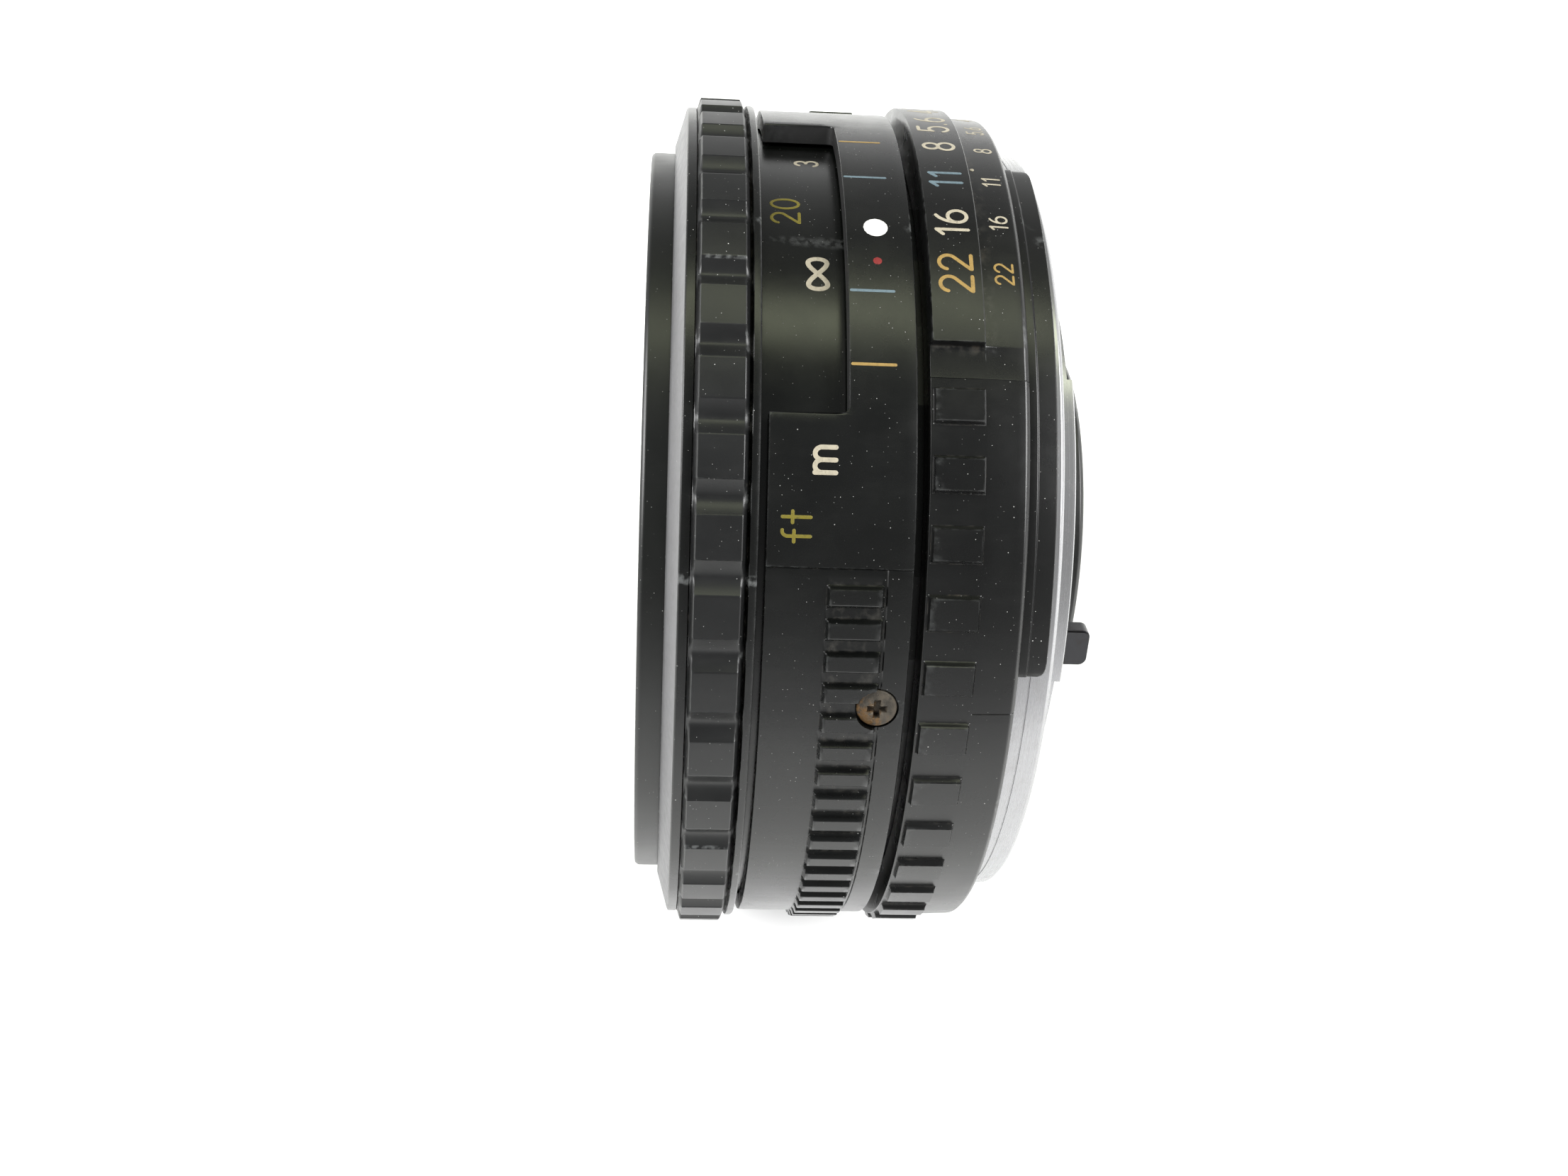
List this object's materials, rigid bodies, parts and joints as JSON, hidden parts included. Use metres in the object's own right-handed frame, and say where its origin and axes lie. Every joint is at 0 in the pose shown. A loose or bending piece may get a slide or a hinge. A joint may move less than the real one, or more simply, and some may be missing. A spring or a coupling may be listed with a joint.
{
  "type": "camera lens",
  "caption": "Standard prime lens for a single-lens reflex camera: ribbed focusing ring with a distance window, numbered aperture ring, chrome three-tab bayonet and a working iris.",
  "frame": {"origin": "centre of the bayonet's flange face, on the optical axis", "axes": "+Y along the optical axis from the front glass to the bayonet, +Z from the axis through the index dot on the fixed cover"},
  "size_m": [0.0634, 0.0319, 0.0634],
  "materials": {
    "black_plastic": "semi-gloss black, lightly scratched and dusty",
    "black_metal": "black anodised, satin",
    "black_steel": "blackened steel",
    "aluminium": "turned",
    "brass": "turned",
    "chrome": "bright, lightly worn",
    "steel": "plain",
    "rusty_steel": "brown rust with ochre grime",
    "glass": "coated optical glass"
  },
  "bodies": {
    "barrel": {"fixed_cover": "black_plastic", "main_barrel": "black_metal", "bayonet_mount": "chrome", "rear_baffle": "black_metal", "cover_screw_1": "rusty_steel", "cover_screw_2": "rusty_steel", "cover_screw_3": "rusty_steel", "mount_screw_1": "steel", "mount_screw_2": "steel", "mount_screw_3": "steel", "guide_key_1": "aluminium", "guide_key_2": "aluminium", "focus_stop_pin": "steel", "detent_ball": "steel", "detent_spring": "steel"},
    "focus_assembly": {"focus_ring": "black_plastic", "distance_scale": "black_metal", "focus_helicoid": "brass", "helicoid_nut": "brass"},
    "lens_unit": {"filter_ring": "black_metal", "name_ring": "black_metal", "front_retaining_ring": "black_metal", "front_cell": "black_metal", "front_spacer": "black_metal", "first_element": "glass", "second_element": "glass", "third_element": "glass", "fourth_element": "glass", "fifth_element": "glass", "sixth_element": "glass", "inner_helicoid": "aluminium", "block_retaining_ring": "black_metal", "iris_housing": "black_metal", "rear_cell": "black_metal", "rear_spacer": "black_metal", "rear_retaining_ring": "black_metal"},
    "aperture_assembly": {"aperture_ring": "black_plastic"},
    "stop_down": {"stop_down_ring": "black_steel"},
    "iris_driver": {"iris_driver_ring": "black_steel"},
    "blade_1": {"iris_blade_1": "black_steel"},
    "blade_2": {"iris_blade_2": "black_steel"},
    "blade_3": {"iris_blade_3": "black_steel"},
    "blade_4": {"iris_blade_4": "black_steel"},
    "blade_5": {"iris_blade_5": "black_steel"},
    "blade_6": {"iris_blade_6": "black_steel"},
    "blade_7": {"iris_blade_7": "black_steel"}
  },
  "joints": [
    {"name": "focus_turn", "type": "hinge", "parent": "barrel", "child": "focus_assembly", "pos_m": [0, 0, 0], "axis": [0, 1, 0], "range_deg": [-5.2, 133.8]},
    {"name": "focus_extension", "type": "slide", "parent": "barrel", "child": "lens_unit", "axis": [0, -1, 0], "range_m": [-0.00019, 0.00487]},
    {"name": "aperture_turn", "type": "hinge", "parent": "barrel", "child": "aperture_assembly", "pos_m": [0, 0, 0], "axis": [0, 1, 0], "range_deg": [-8.1, 50.9]},
    {"name": "stop_down_turn", "type": "hinge", "parent": "barrel", "child": "stop_down", "pos_m": [0, 0, 0], "axis": [0, 1, 0], "range_deg": [-6.99, 1.12]},
    {"name": "iris_driver_turn", "type": "hinge", "parent": "lens_unit", "child": "iris_driver", "pos_m": [0, 0, 0], "axis": [0, 1, 0], "range_deg": [-6.99, 1.12]},
    {"name": "iris_blade_1_turn", "type": "hinge", "parent": "lens_unit", "child": "blade_1", "pos_m": [0.00312, 0, 0.01467], "axis": [0, 1, 0], "range_deg": [-30.19, 4.81]},
    {"name": "iris_blade_2_turn", "type": "hinge", "parent": "lens_unit", "child": "blade_2", "pos_m": [0.01342, 0, 0.00671], "axis": [0, 1, 0], "range_deg": [-30.19, 4.81]},
    {"name": "iris_blade_3_turn", "type": "hinge", "parent": "lens_unit", "child": "blade_3", "pos_m": [0.01361, 0, -0.0063], "axis": [0, 1, 0], "range_deg": [-30.19, 4.81]},
    {"name": "iris_blade_4_turn", "type": "hinge", "parent": "lens_unit", "child": "blade_4", "pos_m": [0.00356, 0, -0.01457], "axis": [0, 1, 0], "range_deg": [-30.19, 4.81]},
    {"name": "iris_blade_5_turn", "type": "hinge", "parent": "lens_unit", "child": "blade_5", "pos_m": [-0.00918, 0, -0.01187], "axis": [0, 1, 0], "range_deg": [-30.19, 4.81]},
    {"name": "iris_blade_6_turn", "type": "hinge", "parent": "lens_unit", "child": "blade_6", "pos_m": [-0.015, 0, -0.00022], "axis": [0, 1, 0], "range_deg": [-30.19, 4.81]},
    {"name": "iris_blade_7_turn", "type": "hinge", "parent": "lens_unit", "child": "blade_7", "pos_m": [-0.00953, 0, 0.01159], "axis": [0, 1, 0], "range_deg": [-30.19, 4.81]}
  ],
  "couplings": [
    {"joint": "focus_extension", "follows": "focus_turn", "m_per_rad": 0.0020835},
    {"joint": "stop_down_turn", "follows": "aperture_turn", "ratio": -0.13719},
    {"joint": "iris_driver_turn", "follows": "aperture_turn", "ratio": -0.13719},
    {"joint": "iris_blade_1_turn", "follows": "aperture_turn", "ratio": -0.593},
    {"joint": "iris_blade_2_turn", "follows": "aperture_turn", "ratio": -0.593},
    {"joint": "iris_blade_3_turn", "follows": "aperture_turn", "ratio": -0.593},
    {"joint": "iris_blade_4_turn", "follows": "aperture_turn", "ratio": -0.593},
    {"joint": "iris_blade_5_turn", "follows": "aperture_turn", "ratio": -0.593},
    {"joint": "iris_blade_6_turn", "follows": "aperture_turn", "ratio": -0.593},
    {"joint": "iris_blade_7_turn", "follows": "aperture_turn", "ratio": -0.593}
  ]
}
